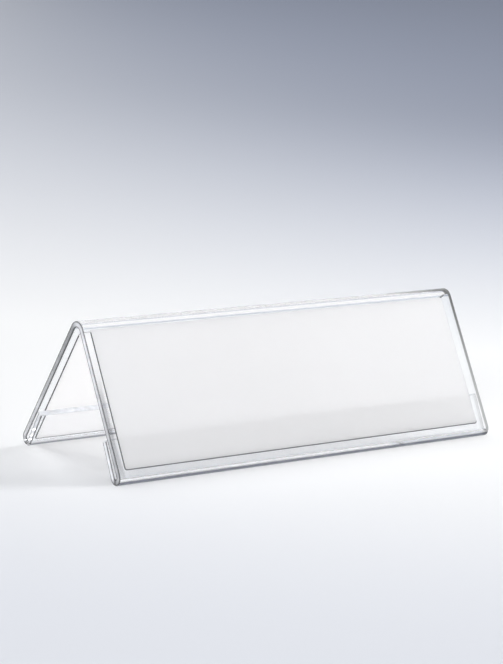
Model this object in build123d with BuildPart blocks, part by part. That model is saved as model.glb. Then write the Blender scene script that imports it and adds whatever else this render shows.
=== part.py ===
"""Clear A-shaped desk name plate holder, with a loose name card in each of its two pockets.

Millimetres. X runs along the ridge, the front faces -Y, +Z is up, and the desk is the plane Z = 0.
"""
import os
from math import asin, cos, degrees, radians, sin, sqrt

from build123d import *

# name cards
card_length = 210.0
card_height = 66.0
card_thickness = 0.4
card_corner_radius = 1.2
front_card_lift = 2.8  # the front card is gripped this far above its pocket's floor
rear_card_lift = 0.2  # the rear card stands on its pocket's floor
rear_card_shift = -1.5  # along the ridge, from the middle

# clear sheet
sheet_thickness = 3.0
end_margin = 5.0  # clear sheet past each end of a card
leg_tilt = 31.0  # degrees from upright
ridge_inner_radius = 2.5
lip_length = 17.5  # straight run of the lip, up from the fold
lip_edge_radius = 0.6
card_clearance = 0.2  # on each side of a card at the pocket's mouth
pocket_relief = 0.8  # how much wider the pocket is at its floor than at its mouth
foot_width = 1.6  # the fold's underside is levelled to a narrow flat
edge_break = 0.3  # along the sheet's cut ends

# the pocket narrows from its floor to its mouth, so the lip leans towards the leg
pocket_mouth = card_thickness + 2 * card_clearance
pocket_floor = pocket_mouth + pocket_relief
lip_lean = degrees(asin(pocket_relief / lip_length))

# radii of the two kinds of bend, at the sheet's middle and at its outer face
ridge_middle_radius = ridge_inner_radius + sheet_thickness / 2
fold_inner_radius = pocket_floor / 2
fold_middle_radius = fold_inner_radius + sheet_thickness / 2
fold_outer_radius = fold_inner_radius + sheet_thickness

# a card's lower corner meets the rounded floor this far below the fold's center
pocket_seat = sqrt(fold_inner_radius**2 - (fold_inner_radius - card_clearance) ** 2)

# the flat leg ends where the higher card's top edge does
leg_run = card_height + max(front_card_lift, rear_card_lift) - pocket_seat
holder_length = card_length + 2 * end_margin

# heights above the desk
tilt = radians(leg_tilt)
fold_center_height = sqrt(fold_outer_radius**2 - (foot_width / 2) ** 2)
bend_step = (fold_middle_radius - ridge_middle_radius) * sin(tilt)
ridge_center_height = fold_center_height + leg_run * cos(tilt) + bend_step


def card_plane(side, lift, shift):
    """The middle plane of a card against its leg, where side is -1 at the front and 1 at the rear."""
    outward = Vector(0, side * cos(tilt), sin(tilt))
    downward = Vector(0, side * sin(tilt), -cos(tilt))
    inner_face = ridge_inner_radius - card_clearance - card_thickness / 2
    run = leg_run + pocket_seat - lift - card_height / 2
    ridge_center = Vector(shift, 0, ridge_center_height)
    return Plane(ridge_center + outward * inner_face + downward * run, x_dir=(1, 0, 0), z_dir=outward)


os.makedirs("parts", exist_ok=True)

# the holder: half of the sheet's middle line, from the ridge to the lip's edge, mirrored and given its thickness
with BuildPart() as clear_holder:
    with BuildSketch(Plane.YZ) as profile:
        with BuildLine():
            ridge_top = (0, ridge_center_height + ridge_middle_radius)
            ridge_bend = JernArc(ridge_top, (-1, 0), ridge_middle_radius, 90 - leg_tilt)
            leg = Line(ridge_bend @ 1, ridge_bend @ 1 + (ridge_bend % 1) * leg_run)
            fold = JernArc(leg @ 1, leg % 1, fold_middle_radius, 180 + lip_lean)
            Line(fold @ 1, fold @ 1 + (fold % 1) * lip_length)
            mirror(about=Plane.YZ)
        trace(line_width=sheet_thickness)
        lip_edges = profile.edges().filter_by(GeomType.LINE).sort_by(SortBy.LENGTH)[:2]
        fillet(lip_edges.vertices(), lip_edge_radius)
    extrude(amount=holder_length / 2, both=True)
    chamfer(clear_holder.faces().filter_by(Axis.X).edges(), edge_break)
    split(bisect_by=Plane.XY, keep=Keep.TOP)

clear_holder.part.label = "clear_holder"
export_step(clear_holder.part, "parts/clear_holder.step")

# the cards: thin rectangles with softened corners, each against its own leg
card_planes = {
    "front_name_card": card_plane(-1, front_card_lift, 0),
    "rear_name_card": card_plane(1, rear_card_lift, rear_card_shift),
}

for name, plane in card_planes.items():
    with BuildPart() as name_card:
        with BuildSketch(plane):
            RectangleRounded(card_length, card_height, card_corner_radius)
        extrude(amount=card_thickness / 2, both=True)
    name_card.part.label = name
    export_step(name_card.part, f"parts/{name}.step")
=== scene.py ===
from math import asin, cos, pi, radians, sin, sqrt

import bmesh
import bpy
from mathutils import Matrix, Vector


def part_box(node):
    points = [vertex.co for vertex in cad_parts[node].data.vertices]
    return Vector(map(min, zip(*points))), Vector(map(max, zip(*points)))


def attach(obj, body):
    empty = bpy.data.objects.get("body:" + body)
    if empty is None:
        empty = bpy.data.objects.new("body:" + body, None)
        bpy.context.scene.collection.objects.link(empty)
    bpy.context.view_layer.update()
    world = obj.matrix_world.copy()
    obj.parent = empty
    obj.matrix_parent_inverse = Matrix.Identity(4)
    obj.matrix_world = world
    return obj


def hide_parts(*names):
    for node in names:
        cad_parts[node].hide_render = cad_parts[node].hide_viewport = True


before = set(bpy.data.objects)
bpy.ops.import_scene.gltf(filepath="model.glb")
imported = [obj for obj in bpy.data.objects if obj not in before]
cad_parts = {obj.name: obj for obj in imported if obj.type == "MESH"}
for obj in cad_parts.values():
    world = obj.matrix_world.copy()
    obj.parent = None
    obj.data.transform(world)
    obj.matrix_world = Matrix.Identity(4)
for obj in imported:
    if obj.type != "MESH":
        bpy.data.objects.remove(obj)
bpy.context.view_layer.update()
mm = 0.001
print("frame loaded:", sorted(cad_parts))


# small helpers for objects, meshes and node trees

def addObject(name, data):
    thing = bpy.data.objects.new(name, data)
    bpy.context.scene.collection.objects.link(thing)
    return thing


def setAttribute(mesh, name, values):
    mesh.attributes.new(name, "FLOAT", "POINT").data.foreach_set("value", values)


def addNode(tree, kind, **values):
    node = tree.nodes.new(kind)
    for key, value in values.items():
        if hasattr(node, key):
            setattr(node, key, value)
        else:
            node.inputs[key.replace("_", " ")].default_value = value
    return node


def feed(tree, socket, value):
    if isinstance(value, bpy.types.NodeSocket):
        tree.links.new(value, socket)
    else:
        socket.default_value = value


def mathNode(tree, operation, *values):
    node = tree.nodes.new("ShaderNodeMath")
    node.operation = operation
    for socket, value in zip(node.inputs, values):
        feed(tree, socket, value)
    return node.outputs[0]


def fadeNode(tree, value, low, high):
    node = addNode(tree, "ShaderNodeMapRange", From_Min=low, From_Max=high)
    node.interpolation_type = "SMOOTHSTEP"
    feed(tree, node.inputs["Value"], value)
    return node.outputs[0]


def mixNode(tree, factor, first, second):
    node = addNode(tree, "ShaderNodeMix", data_type="RGBA")
    for index, value in ((0, factor), (6, first), (7, second)):  # the colour sockets of a Mix node
        feed(tree, node.inputs[index], value)
    return node.outputs[2]


def mixShaders(tree, factor, first, second):
    node = tree.nodes.new("ShaderNodeMixShader")
    for socket, value in zip(node.inputs, (factor, first, second)):
        feed(tree, socket, value)
    return node.outputs[0]


def attributeNode(tree, name):
    return addNode(tree, "ShaderNodeAttribute", attribute_name=name).outputs["Fac"]


def newGroup(name, inputs, outputs):
    group = bpy.data.node_groups.new(name, "ShaderNodeTree")
    for label, kind, value in inputs:
        socket = group.interface.new_socket(label, in_out="INPUT", socket_type=kind)
        socket.default_value = value
    for label, kind in outputs:
        group.interface.new_socket(label, in_out="OUTPUT", socket_type=kind)
    return group, group.nodes.new("NodeGroupInput"), group.nodes.new("NodeGroupOutput")


def placeGroup(tree, group, **values):
    node = tree.nodes.new("ShaderNodeGroup")
    node.node_tree = group
    for key, value in values.items():
        feed(tree, node.inputs[key.replace("_", " ")], value)
    return node


def newMaterial(name):
    material = bpy.data.materials.new(name)
    material.use_nodes = True
    tree = material.node_tree
    return material, tree, tree.nodes["Principled BSDF"], tree.nodes["Material Output"]


floatSocket, colorSocket, vectorSocket = "NodeSocketFloat", "NodeSocketColor", "NodeSocketVector"


# handling marks: soft smudges and fine hairline scratches, as a roughness

handling = {
    "smudgeScale": 45.0,
    "smudgeFade": (0.5, 0.75),  # noise values where a smudge begins and where it is full
    "smudgeShare": 0.8,
    "scratchScale": 900.0,
    "scratchStretch": (0.05, 1.0, 1.0),
    "scratchTurn": radians(18),
    "scratchFade": (0.68, 0.8),
    "scratchShare": 0.2,
}


def makeHandlingMarks():
    group, inside, outside = newGroup(
        "handlingMarks",
        [
            ("Vector", vectorSocket, (0, 0, 0)),
            ("Clean Roughness", floatSocket, 0.01),
            ("Smudge Roughness", floatSocket, 0.06),
            ("Smudge Scale", floatSocket, handling["smudgeScale"]),
            ("Scratch Scale", floatSocket, handling["scratchScale"]),
        ],
        [("Roughness", floatSocket)],
    )
    link = group.links.new
    smudge = addNode(group, "ShaderNodeTexNoise", Detail=5.0, Roughness=0.6)
    link(inside.outputs["Vector"], smudge.inputs["Vector"])
    link(inside.outputs["Smudge Scale"], smudge.inputs["Scale"])
    patch = fadeNode(group, smudge.outputs[0], *handling["smudgeFade"])
    stretch = addNode(group, "ShaderNodeMapping", Scale=handling["scratchStretch"])
    stretch.inputs["Rotation"].default_value = (0.0, 0.0, handling["scratchTurn"])
    link(inside.outputs["Vector"], stretch.inputs["Vector"])
    hair = addNode(group, "ShaderNodeTexNoise", Detail=2.0)
    link(stretch.outputs[0], hair.inputs["Vector"])
    link(inside.outputs["Scratch Scale"], hair.inputs["Scale"])
    scratch = fadeNode(group, hair.outputs[0], *handling["scratchFade"])
    scratchPart = mathNode(group, "MULTIPLY", scratch, handling["scratchShare"])
    mark = mathNode(group, "MULTIPLY_ADD", patch, handling["smudgeShare"], scratchPart)
    clean = inside.outputs["Clean Roughness"]
    span = mathNode(group, "SUBTRACT", inside.outputs["Smudge Roughness"], clean)
    link(mathNode(group, "MULTIPLY_ADD", mark, span, clean), outside.inputs["Roughness"])
    return group


# paper grain: cloudy formation and short fibres, as a colour, a roughness and a height

paper = {
    "cloudScale": 60.0,
    "fibreScale": 1500.0,
    "fibreStretch": (0.35, 1.0, 1.0),
    "fibreShare": 0.35,
    "roughness": 0.62,
    "grainRoughness": 0.25,  # added where the grain is full
}


def makePaperGrain():
    group, inside, outside = newGroup(
        "paperGrain",
        [
            ("Vector", vectorSocket, (0, 0, 0)),
            ("Paper Color", colorSocket, (0.9, 0.9, 0.9, 1)),
            ("Fibre Color", colorSocket, (0.8, 0.8, 0.8, 1)),
            ("Cloud Scale", floatSocket, paper["cloudScale"]),
            ("Fibre Scale", floatSocket, paper["fibreScale"]),
            ("Fibre Share", floatSocket, paper["fibreShare"]),
        ],
        [("Color", colorSocket), ("Roughness", floatSocket), ("Height", floatSocket)],
    )
    link = group.links.new
    cloud = addNode(group, "ShaderNodeTexNoise", Detail=4.0)
    link(inside.outputs["Vector"], cloud.inputs["Vector"])
    link(inside.outputs["Cloud Scale"], cloud.inputs["Scale"])
    stretch = addNode(group, "ShaderNodeMapping", Scale=paper["fibreStretch"])
    link(inside.outputs["Vector"], stretch.inputs["Vector"])
    fibre = addNode(group, "ShaderNodeTexNoise", Detail=6.0, Distortion=1.5)
    link(stretch.outputs[0], fibre.inputs["Vector"])
    link(inside.outputs["Fibre Scale"], fibre.inputs["Scale"])
    both = mathNode(group, "ADD", cloud.outputs[0], fibre.outputs[0])
    grain = mathNode(group, "MULTIPLY", both, 0.5)  # their mean
    share = mathNode(group, "MULTIPLY", grain, inside.outputs["Fibre Share"])
    tone = mixNode(group, share, inside.outputs["Paper Color"], inside.outputs["Fibre Color"])
    rough = mathNode(group, "MULTIPLY_ADD", grain, paper["grainRoughness"], paper["roughness"])
    link(tone, outside.inputs["Color"])
    link(rough, outside.inputs["Roughness"])
    link(fibre.outputs[0], outside.inputs["Height"])
    return group


handlingMarks = makeHandlingMarks()
paperGrain = makePaperGrain()
print("node groups made")


# clear acrylic, for the polished faces and for the cut edges

acrylicFinish = {
    "clearAcrylic": {
        "clear": 1.0,
        "tint": (0.978, 0.985, 0.996, 1),
        "paintedShade": (0.01, 0.016, 0.035, 1),  # painted shade, where the bend looks dark
        "clean": 0.0,
        "smudge": 0.03,
        "waveScale": 28.0,  # the sheet is never quite flat
        "waveHeight": 0.012,
        "paintedMargin": (0.4 * mm, 3.6 * mm),  # from the left end, where its painted shade margin fades
    },
    "cutAcrylic": {
        "clear": 0.4,
        "tint": (0.93, 0.95, 1.0, 1),
        "paintedShade": (0, 0, 0, 1),
        "clean": 0.08,
        "smudge": 0.25,
        "waveScale": 900.0,  # fine saw marks
        "waveHeight": 0.01,
        "rim": (0.45, 0.95),  # painted shade: where the tone falls off across the sheet
        "rimPaintedShade": 0.8,
        "glow": 0.25,  # painted glow: the cut ends give out light, standing in for light led along the sheet
        "streakScale": 260.0,
        "streakDepth": 0.9,
    },
}
acrylicIor = 1.49
waveDistance = 1 * mm
caughtDepth = 4.5  # light that has turned more often than this is caught in the sheet


def cutEdgePaintedLight(tree, look, place):
    # painted light and shade: darker towards both faces of the sheet, with streaks
    offset = mathNode(tree, "MULTIPLY_ADD", attributeNode(tree, "across"), 2.0, -1.0)
    rim = fadeNode(tree, mathNode(tree, "ABSOLUTE", offset), *look["rim"])
    keep = mathNode(tree, "MULTIPLY_ADD", rim, -look["rimPaintedShade"], 1.0)
    streak = addNode(tree, "ShaderNodeTexNoise", Scale=look["streakScale"], Detail=3.0)
    tree.links.new(place, streak.inputs["Vector"])
    depth = look["streakDepth"]
    vary = mathNode(tree, "MULTIPLY_ADD", streak.outputs[0], depth, 1 - depth / 2)
    tone = mathNode(tree, "MULTIPLY", attributeNode(tree, "cutEndPaintedLight"), keep)
    return mathNode(tree, "MULTIPLY", tone, vary)


def clearFacePaintedShade(tree, look, place, inside):
    # painted shade, on the outer faces only, and only from outside
    split = addNode(tree, "ShaderNodeSeparateXYZ")
    tree.links.new(place, split.inputs[0])
    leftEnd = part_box("clear_holder")[0].x
    inward = fadeNode(tree, split.outputs["X"], *[leftEnd + distance for distance in look["paintedMargin"]])
    paintedMargin = mathNode(tree, "MAXIMUM", attributeNode(tree, "endPaintedShade"), inward)
    shaded = mathNode(tree, "MULTIPLY", attributeNode(tree, "clearPaintedShade"), paintedMargin)
    unshaded = mathNode(tree, "MAXIMUM", inside, attributeNode(tree, "across"))
    return mathNode(tree, "MAXIMUM", shaded, unshaded)


def acrylic(name):
    look = acrylicFinish[name]
    onCut = "rim" in look
    material, tree, shader, output = newMaterial(name)
    link = tree.links.new
    place = addNode(tree, "ShaderNodeTexCoord").outputs["Object"]
    marks = placeGroup(
        tree, handlingMarks, Vector=place, Clean_Roughness=look["clean"], Smudge_Roughness=look["smudge"]
    )
    link(marks.outputs["Roughness"], shader.inputs["Roughness"])
    wave = addNode(tree, "ShaderNodeTexNoise", Scale=look["waveScale"], Detail=1.0)
    link(place, wave.inputs["Vector"])
    bump = addNode(tree, "ShaderNodeBump", Strength=look["waveHeight"], Distance=waveDistance)
    link(wave.outputs[0], bump.inputs["Height"])
    link(bump.outputs[0], shader.inputs["Normal"])
    inside = addNode(tree, "ShaderNodeNewGeometry").outputs["Backfacing"]
    tone = cutEdgePaintedLight(tree, look, place) if onCut else clearFacePaintedShade(tree, look, place, inside)
    color = mixNode(tree, tone, look["paintedShade"], look["tint"])
    link(color, shader.inputs["Base Color"])
    shader.inputs["IOR"].default_value = acrylicIor
    shader.inputs["Transmission Weight"].default_value = look["clear"]
    # lamp light, and light caught in the sheet, goes straight on and is only dimmed
    ray = addNode(tree, "ShaderNodeLightPath")
    lamp = mathNode(tree, "MAXIMUM", ray.outputs["Is Shadow Ray"], ray.outputs["Is Diffuse Ray"])
    caught = mathNode(tree, "GREATER_THAN", ray.outputs["Ray Depth"], caughtDepth)
    straight = mathNode(tree, "MAXIMUM", lamp, caught)
    kept = attributeNode(tree, "caughtKept")
    if onCut:
        # painted glow: the cut ends give out their own colour as light
        link(color, shader.inputs["Emission Color"])
        shader.inputs["Emission Strength"].default_value = look["glow"]
        # painted shade: seen from inside, a cut end only dims what lies behind it
        straight = mathNode(tree, "MAXIMUM", straight, inside)
        kept = mixNode(tree, inside, kept, attributeNode(tree, "backPaintedShade"))
    through = addNode(tree, "ShaderNodeBsdfTransparent")
    link(mixNode(tree, lamp, kept, attributeNode(tree, "lampKept")), through.inputs["Color"])
    link(mixShaders(tree, straight, shader.outputs[0], through.outputs[0]), output.inputs["Surface"])
    return material


# white card stock, for the broad faces and for the cut edges, painted dark as shade

cardFinish = {
    "cardFace": {
        "paper": (0.975, 0.97, 0.968, 1),
        "fibre": (0.945, 0.94, 0.938, 1),
        "through": 0.64,  # share of light that goes into the sheet
        "relief": 0.12,
    },
    "cardEdgePaintedShade": {
        "paper": (0.06, 0.062, 0.07, 1),
        "fibre": (0.14, 0.14, 0.15, 1),
        "through": 0.1,
        "relief": 0.3,
    },
}
cardGloss = 0.25
fibreDistance = 0.02 * mm


def cardStock(name):
    look = cardFinish[name]
    material, tree, shader, output = newMaterial(name)
    link = tree.links.new
    place = addNode(tree, "ShaderNodeTexCoord").outputs["Object"]
    grain = placeGroup(
        tree, paperGrain, Vector=place, Paper_Color=look["paper"], Fibre_Color=look["fibre"]
    )
    link(grain.outputs["Color"], shader.inputs["Base Color"])
    link(grain.outputs["Roughness"], shader.inputs["Roughness"])
    bump = addNode(tree, "ShaderNodeBump", Strength=look["relief"], Distance=fibreDistance)
    link(grain.outputs["Height"], bump.inputs["Height"])
    link(bump.outputs[0], shader.inputs["Normal"])
    shader.inputs["Specular IOR Level"].default_value = cardGloss
    glow = addNode(tree, "ShaderNodeBsdfTranslucent")
    link(grain.outputs["Color"], glow.inputs["Color"])
    link(mixShaders(tree, look["through"], shader.outputs[0], glow.outputs[0]), output.inputs["Surface"])
    return material


holderFinishes = [acrylic(name) for name in acrylicFinish]
cardFinishes = [cardStock(name) for name in cardFinish]
print("materials made")


# the holder: one bent sheet, swept along X

holder = {
    "sheet": 3.0 * mm,
    "tilt": radians(31.0),  # of each leg, from upright
    "ridgeInnerRadius": 2.5 * mm,
    "pocketFloor": 1.6 * mm,
    "pocketMouth": 0.8 * mm,
    "lipLength": 17.5 * mm,
    "lipEdgeRadius": 0.6 * mm,
    "footWidth": 1.6 * mm,
    "footLevel": 0.001 * mm,  # points lower than this lie on the desk
    "endSoftening": 0.3 * mm,  # rounded cut ends
    "ridgeSteps": 28,
    "foldSteps": 56,
    "runSteps": 20,  # along a leg or a lip
    "edgeSteps": 8,
    "softSteps": 5,
    "lengthSteps": 22,
    # tones along the sheet: place in mm, rear lip (-) over the ridge (0) to front lip (+), and value
    "tones": {
        "lampKept": [  # light kept from lamps
            (-80.4, 1.0), (-79.7, 0.95), (-72.6, 0.95), (-72.0, 1.0),
            (-4.5, 1.0), (-3.5, 0.97), (3.5, 0.97), (4.5, 1.0),
            (71.2, 1.0), (72.4, 0.9), (79.5, 0.9), (80.0, 0.87),
        ],
        "caughtKept": [  # light kept once caught in the sheet
            (-80.4, 0.9), (-79.7, 0.8), (-72.6, 0.8), (-72.0, 0.9),
            (-4.5, 0.9), (-3.5, 0.97), (3.5, 0.97), (4.5, 0.9),
        ],
        "clearPaintedShade": [  # painted shade on the clear faces, with a dark line along each fold
            (-80.4, 1.0), (-79.2, 0.03), (-77.2, 0.03), (-76.4, 1.0),
            (67.0, 1.0), (70.0, 0.92), (72.4, 1.0), (73.3, 1.0),
            (74.0, 0.95), (74.6, 0.02), (77.3, 0.02), (78.3, 1.0),
        ],
        "cutEndPaintedLight": [  # painted light and shade on the cut ends
            (-96.5, 0.72), (-95.0, 0.65), (-80.0, 0.65), (-78.2, 0.3), (-77.2, 0.05), (-76.4, 0.25),
            (-72.0, 0.5), (-60.0, 0.55), (-40.0, 0.36), (-4.5, 0.16), (0.0, 0.7), (4.5, 0.8),
            (40.0, 0.6), (60.0, 0.5), (67.0, 0.42), (73.3, 0.4), (76.3, 0.28), (77.3, 0.05),
            (78.3, 0.4), (79.5, 0.8), (80.0, 0.85), (95.0, 0.85), (96.5, 0.72),
        ],
        "backPaintedShade": [  # painted shade of the cut ends seen through the sheet
            (-96.5, 0.8), (-95.0, 0.75), (-80.4, 0.75), (-79.7, 0.6), (-78.2, 0.5),
            (-60.0, 0.5), (-40.0, 0.42), (-15.0, 0.2), (-4.5, 0.16), (4.5, 0.16),
            (15.0, 0.2), (40.0, 0.42), (60.0, 0.5), (72.4, 0.5), (74.6, 0.4),
            (77.3, 0.4), (79.5, 0.6), (80.0, 0.75), (95.0, 0.75), (96.5, 0.8),
        ],
        "endPaintedShade": [  # painted shade margin at the front leg's left end
            (10.0, 1.0), (27.0, 0.85), (34.0, 0.5), (40.0, 0.3), (50.0, 0.3),
            (60.0, 0.35), (67.0, 0.45), (70.0, 0.55), (72.4, 0.7), (74.0, 1.0),
        ],
    },
}


def toneAt(stops, place):
    if place <= stops[0][0]:
        return stops[0][1]
    for (start, first), (end, second) in zip(stops, stops[1:]):
        if place <= end:
            return first + (second - first) * (place - start) / (end - start)
    return stops[-1][1]


def sheetStations():
    # from the ridge top down the front leg to the lip's edge:
    # middle of the sheet, outward normal, half width, turn at the edge
    h = holder
    lean = asin((h["pocketFloor"] - h["pocketMouth"]) / h["lipLength"])
    half = h["sheet"] / 2
    ridgeRadius = h["ridgeInnerRadius"] + half
    foldRadius = h["pocketFloor"] / 2 + half
    foldOuter = foldRadius + half
    ridgeCenter = Vector((0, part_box("clear_holder")[1].z - ridgeRadius - half))
    outward = Vector((-cos(h["tilt"]), sin(h["tilt"])))
    downward = Vector((-sin(h["tilt"]), -cos(h["tilt"])))
    foldHeight = sqrt(foldOuter**2 - (h["footWidth"] / 2) ** 2)
    legStart = ridgeCenter + outward * ridgeRadius
    legRun = (legStart.y - foldRadius * outward.y - foldHeight) / cos(h["tilt"])
    foldCenter = legStart + downward * legRun - outward * foldRadius
    stations = []
    ridgeTurn = pi / 2 - h["tilt"]
    for i in range(h["ridgeSteps"]):
        a = ridgeTurn * i / h["ridgeSteps"]
        normal = Vector((-sin(a), cos(a)))
        stations.append((ridgeCenter + normal * ridgeRadius, normal, half, 0))
    for i in range(h["runSteps"]):
        stations.append((legStart + downward * (legRun * i / h["runSteps"]), outward, half, 0))
    foldTurn = pi + lean
    footTurn = asin(h["footWidth"] / 2 / foldOuter)  # the flat's ends, from straight down
    turns = [foldTurn * i / h["foldSteps"] for i in range(h["foldSteps"] + 1)]
    turns += [pi / 2 + h["tilt"] + side * footTurn for side in (-1, 1)]
    for a in sorted(turns):
        normal = outward * cos(a) + downward * sin(a)
        stations.append((foldCenter + normal * foldRadius, normal, half, 0))
    lipStart, lipNormal = stations[-1][:2]
    along = downward * cos(foldTurn) - outward * sin(foldTurn)
    edge = h["lipEdgeRadius"]
    lipRun = h["lipLength"] - edge
    for i in range(1, h["runSteps"]):
        stations.append((lipStart + along * (lipRun * i / h["runSteps"]), lipNormal, half, 0))
    for i in range(h["edgeSteps"] + 1):
        a = pi / 2 * i / h["edgeSteps"]
        middle = lipStart + along * (h["lipLength"] - edge * (1 - sin(a)))
        stations.append((middle, lipNormal, half - edge * (1 - cos(a)), a))
    return stations, along


def sheetOutline():
    # one closed loop of (point, normal, run, on the lip's edge)
    # point i and point -1-i lie across the sheet
    stations, along = sheetStations()
    sides = {1: [], -1: []}
    run = 0.0
    for k, (middle, normal, half, turn) in enumerate(stations):
        run += (middle - stations[max(k - 1, 0)][0]).length
        for side, points in sides.items():
            point = middle + normal * half * side
            facing = normal * side * cos(turn) + along * sin(turn)
            if point.y < holder["footLevel"]:
                point = Vector((point.x, 0.0))
                facing = Vector((0.0, -1.0))
            points.append((point, facing, run, turn > 0))
    mirror = Vector((-1, 1))
    loops = []
    for points in sides.values():
        rear = [(p * mirror, n * mirror, -r, e) for p, n, r, e in points[:0:-1]]
        loops.append(rear + points)
    return loops[0] + loops[1][::-1]


def buildHolder():
    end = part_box("clear_holder")[1].x
    soft = holder["endSoftening"]
    points, facings, runs, onEdge = zip(*sheetOutline())
    count = len(points)
    rounded = []  # (x, inset, turn towards the end)
    for i in range(holder["softSteps"] + 1):
        a = pi / 2 * i / holder["softSteps"]
        rounded.append((end - soft + soft * sin(a), soft * (1 - cos(a)), a))
    steps = holder["lengthSteps"]
    span = (end - soft) * 2
    plain = [(-end + soft + span * i / steps, 0.0, 0.0) for i in range(1, steps)]
    rings = [(-x, inset, -a) for x, inset, a in rounded[::-1]] + plain + rounded
    bm = bmesh.new()
    normals = []
    grid = []
    for x, inset, a in rings:
        row = []
        for point, facing in zip(points, facings):
            place = point - facing * inset
            row.append(bm.verts.new((x, place.x, place.y)))
            normals.append((sin(a), facing.x * cos(a), facing.y * cos(a)))
        grid.append(row)
    for r in range(len(grid) - 1):
        onEnd = min(r, len(grid) - 2 - r) < holder["softSteps"]
        for i in range(count):
            j = (i + 1) % count
            face = bm.faces.new((grid[r][i], grid[r][j], grid[r + 1][j], grid[r + 1][i]))
            face.material_index = int(onEnd or onEdge[i] or onEdge[j])  # 0 clear, 1 cut
    for row, step in ((grid[0], 1), (grid[-1], -1)):  # the cut ends, in quads across the sheet
        for i in range(count // 2 - 1):
            face = bm.faces.new([row[k] for k in (i, count - 1 - i, count - 2 - i, i + 1)][::step])
            face.material_index = 1
    mesh = bpy.data.meshes.new("clearHolder")
    bm.to_mesh(mesh)
    bm.free()
    mesh.polygons.foreach_set("use_smooth", [True] * len(mesh.polygons))
    mesh.normals_split_custom_set_from_vertices(normals)
    # 0 on the outer side of the sheet, 1 on the inner side
    across = [0.5 if edge else float(i >= count // 2) for i, edge in enumerate(onEdge)]
    setAttribute(mesh, "across", across * len(grid))
    for name, stops in holder["tones"].items():
        setAttribute(mesh, name, [toneAt(stops, run / mm) for run in runs] * len(grid))
    for finish in holderFinishes:
        mesh.materials.append(finish)
    piece = addObject("clearHolder", mesh)
    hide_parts("clear_holder")
    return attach(piece, "holder")


clearHolder = buildHolder()
print("holder built:", len(clearHolder.data.polygons), "faces")


# the name cards: thin sheets with softened corners, each against its own leg

card = {
    "thickness": 0.4 * mm,
    "cornerRadius": 1.2 * mm,
    "edgeBorder": 0.4 * mm,  # pressed down a little by the cut
    "edgeDrop": 0.08 * mm,
    "bow": 0.06 * mm,  # towards the inside, at the middle
    "columns": 42,
    "rows": 16,
    "cornerSteps": 8,
}


def buildCard(name, node, body, side):
    low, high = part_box(node)
    tilt = holder["tilt"]
    outward = Vector((0, side * cos(tilt), sin(tilt)))
    upward = Vector((0, -side * sin(tilt), cos(tilt)))
    center = (low + high) / 2
    length = high.x - low.x
    height = (high.z - low.z - card["thickness"] * sin(tilt)) / cos(tilt)
    radius, half, rows = card["cornerRadius"], card["thickness"] / 2, card["rows"]

    def column(x, inset):  # heights from bottom to top at x, for an outline drawn in by inset
        corner = max(0.0, abs(x) - (length / 2 - radius))
        drop = radius - sqrt(max(0.0, (radius - inset) ** 2 - min(corner, radius - inset) ** 2))
        top = height / 2 - (drop if corner else inset)
        return [-top + 2 * top * i / rows for i in range(rows + 1)]

    def layer(inset, depth):
        ends = [1 - cos(pi / 2 * i / card["cornerSteps"]) for i in range(card["cornerSteps"])]
        places = [-length / 2 + inset + e * (radius - inset) for e in ends]
        run = length - 2 * radius
        places += [-run / 2 + run * i / card["columns"] for i in range(card["columns"] + 1)]
        places += [-x for x in places[card["cornerSteps"] - 1::-1]]
        points = []
        for x in places:
            bend = card["bow"] * cos(pi * x / length)
            points.append([
                center + Vector((x, 0, 0)) + upward * v + outward * (depth - bend * cos(pi * v / height))
                for v in column(x, inset)
            ])
        return points

    def rim(grid):  # the outline of a grid of columns, in order
        return (
            [col[0] for col in grid]
            + grid[-1][1:]
            + [col[-1] for col in grid[-2::-1]]
            + grid[0][-2:0:-1]
        )

    bm = bmesh.new()
    border, edge = card["edgeBorder"], half - card["edgeDrop"]
    grids = [
        [[bm.verts.new(p) for p in col] for col in layer(border, depth)]
        for depth in (half, -half)
    ]
    edgeRims = [[bm.verts.new(p) for p in rim(layer(0, depth))] for depth in (edge, -edge)]
    rims = [rim(grids[0]), *edgeRims, rim(grids[1])]
    for grid in grids:
        for i in range(len(grid) - 1):
            for j in range(rows):
                bm.faces.new((grid[i][j], grid[i + 1][j], grid[i + 1][j + 1], grid[i][j + 1]))
    lastColumn = len(grids[0]) - 1
    paleRun = range(lastColumn, 2 * lastColumn + rows)  # the right side and the top have a pale border; the left side and the bottom a border of painted shade
    for a, b in zip(rims, rims[1:]):
        for k in range(len(a)):
            n = (k + 1) % len(a)
            face = bm.faces.new((a[k], b[k], b[n], a[n]))
            face.material_index = int(a is rims[1] or k not in paleRun)  # 0 face, 1 painted shade on the cut edge and on the left and bottom border
    bmesh.ops.recalc_face_normals(bm, faces=bm.faces)
    mesh = bpy.data.meshes.new(name)
    bm.to_mesh(mesh)
    bm.free()
    for finish in cardFinishes:
        mesh.materials.append(finish)
    piece = addObject(name, mesh)
    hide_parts(node)
    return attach(piece, body)


frontNameCard = buildCard("frontNameCard", "front_name_card", "front_card", -1)
rearNameCard = buildCard("rearNameCard", "rear_name_card", "rear_card", 1)
print("cards built:", len(frontNameCard.data.polygons), "and", len(rearNameCard.data.polygons), "faces")


# studio: a pale floor with a painted pool of light, a soft dome and softboxes

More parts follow.
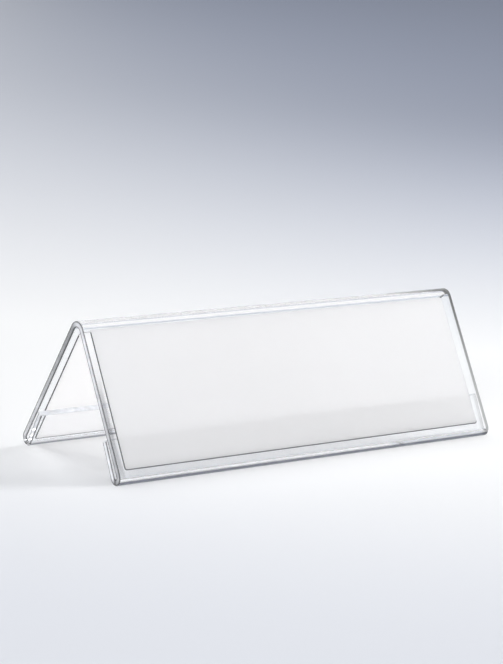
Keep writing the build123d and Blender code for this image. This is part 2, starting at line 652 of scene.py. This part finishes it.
studio = {
    "floorRadius": 9.0,
    "floorSides": 96,
    "floorDrop": 0.05 * mm,  # the foot just clears it
    "floorRoughness": 0.9,
    "floorGloss": 0.1,
    "behind": (0.614, 0.789, 0.0),  # the way the floor fades
    "aside": (0.789, -0.614, 0.0),  # to the right of it
    "floorPaintedPool": (0.95, 0.955, 0.96, 1),  # around the part, a painted pool of light
    "floorFront": (0.8, 0.82, 0.87, 1),
    "floorFar": (0.38, 0.42, 0.53, 1),
    "frontFade": (-0.3, 0.05),  # metres behind the part, from the front's colour to the near one
    "farStart": 0.22,  # metres behind the part, where the fade to the far colour begins
    "farLength": 0.65,  # metres in which it goes about two thirds of its way
    "rightward": 1.8,  # how much quicker it goes for each metre to the right
    "leastPace": 0.3,
    "ambient": (0.375, 0.38, 0.39, 1),  # what the dome gives to plain surfaces
    "domeTop": (1.0, 1.0, 1.0, 1),  # what clear and glossy surfaces see of it
    "domeLow": (0.66, 0.69, 0.76, 1),
    "domeFade": (0.0, 0.5),  # heights of the dome's fade, as the sine of the elevation
    # spread in degrees; the key is narrow so that the floor below it stays pale, not white
    "lamps": {
        "mainSoftbox": {"place": (0.0, 1.4, 2.6), "size": 1.6, "spread": 180, "power": 32.0},
        "keySoftbox": {"place": (1.5, -0.2, 0.78), "size": 0.5, "spread": 90, "power": 3.6},
        "fillSoftbox": {"place": (-2.1, -1.5, 0.9), "size": 1.2, "spread": 180, "power": 24.0},
    },
}


# the floor's colour: a painted pool of light, palest around the part and darker in front; behind and to
# the right it fades to grey-blue, partly a graduated backdrop colour, partly painted fall-off of light
def floorToneAndPaintedPool(tree):
    place = addNode(tree, "ShaderNodeTexCoord").outputs["Object"]

    def distance(direction):
        node = addNode(tree, "ShaderNodeVectorMath", operation="DOT_PRODUCT")
        node.inputs[1].default_value = direction
        tree.links.new(place, node.inputs[0])
        return node.outputs["Value"]

    behind, aside = distance(studio["behind"]), distance(studio["aside"])
    near = fadeNode(tree, behind, *studio["frontFade"])
    pale = mixNode(tree, near, studio["floorFront"], studio["floorPaintedPool"])
    run = mathNode(tree, "SUBTRACT", behind, studio["farStart"])
    run = mathNode(tree, "MAXIMUM", run, 0.0)
    pace = mathNode(tree, "MULTIPLY_ADD", aside, studio["rightward"], 1.0)
    pace = mathNode(tree, "MAXIMUM", pace, studio["leastPace"])
    covered = mathNode(tree, "MULTIPLY", run, pace)
    kept = mathNode(tree, "EXPONENT", mathNode(tree, "DIVIDE", covered, -studio["farLength"]))
    return mixNode(tree, kept, studio["floorFar"], pale)


def buildFloor():
    bm = bmesh.new()
    bmesh.ops.create_circle(
        bm, cap_ends=True, segments=studio["floorSides"], radius=studio["floorRadius"]
    )
    mesh = bpy.data.meshes.new("floor")
    bm.to_mesh(mesh)
    bm.free()
    floor = addObject("floor", mesh)
    floor.location.z = -studio["floorDrop"]
    material, tree, shader = newMaterial("paleFloor")[:3]
    tree.links.new(floorToneAndPaintedPool(tree), shader.inputs["Base Color"])
    shader.inputs["Roughness"].default_value = studio["floorRoughness"]
    shader.inputs["Specular IOR Level"].default_value = studio["floorGloss"]
    mesh.materials.append(material)


def buildDome():
    world = bpy.data.worlds.new("studioDome")
    world.use_nodes = True
    tree = world.node_tree
    link = tree.links.new
    plain = tree.nodes["Background"]
    plain.inputs["Color"].default_value = studio["ambient"]
    split = addNode(tree, "ShaderNodeSeparateXYZ")
    link(addNode(tree, "ShaderNodeTexCoord").outputs["Generated"], split.inputs[0])
    height = fadeNode(tree, split.outputs["Z"], *studio["domeFade"])
    seen = addNode(tree, "ShaderNodeBackground")
    link(mixNode(tree, height, studio["domeLow"], studio["domeTop"]), seen.inputs["Color"])
    ray = addNode(tree, "ShaderNodeLightPath")
    clear = mathNode(tree, "MAXIMUM", ray.outputs["Is Glossy Ray"], ray.outputs["Is Transmission Ray"])
    direct = mathNode(tree, "MAXIMUM", clear, ray.outputs["Is Camera Ray"])
    dome = mixShaders(tree, direct, plain.outputs[0], seen.outputs[0])
    link(dome, tree.nodes["World Output"].inputs["Surface"])
    bpy.context.scene.world = world


def buildLamps():
    for name, lamp in studio["lamps"].items():
        data = bpy.data.lights.new(name, "AREA")
        data.shape = "SQUARE"
        data.size = lamp["size"]
        data.spread = radians(lamp["spread"])
        data.energy = lamp["power"]
        box = addObject(name, data)
        box.location = lamp["place"]
        box.rotation_euler = (-box.location).to_track_quat("-Z", "Y").to_euler()  # aimed at the part


buildFloor()
buildDome()
buildLamps()
print("studio built")


# camera at the photograph's viewing angle

view = {
    "place": (-0.7146, -0.9043, 0.3066),
    "yaw": radians(37.89),
    "pitch": radians(12.43),
    "roll": radians(3.92),
    "focalPixels": 2479.0,
    "imageHeight": 664,
    "sensor": 36.0,  # its long side, in mm
    "clip": (0.05, 40.0),
}


def buildCamera():
    yaw, pitch, roll = view["yaw"], view["pitch"], view["roll"]
    forward = Vector((sin(yaw) * cos(pitch), cos(yaw) * cos(pitch), -sin(pitch)))
    right = Vector((cos(yaw), -sin(yaw), 0))
    up = right.cross(forward)
    sideways = right * cos(roll) + up * sin(roll)
    upright = up * cos(roll) - right * sin(roll)
    turn = Matrix((sideways, upright, -forward)).transposed().to_4x4()
    data = bpy.data.cameras.new("studioCamera")
    data.sensor_width = view["sensor"]
    data.lens = view["focalPixels"] / view["imageHeight"] * view["sensor"]
    data.clip_start, data.clip_end = view["clip"]
    camera = addObject("studioCamera", data)
    camera.matrix_world = Matrix.Translation(view["place"]) @ turn
    bpy.context.scene.camera = camera


buildCamera()
bpy.context.scene.view_settings.view_transform = "Standard"
print("camera set")
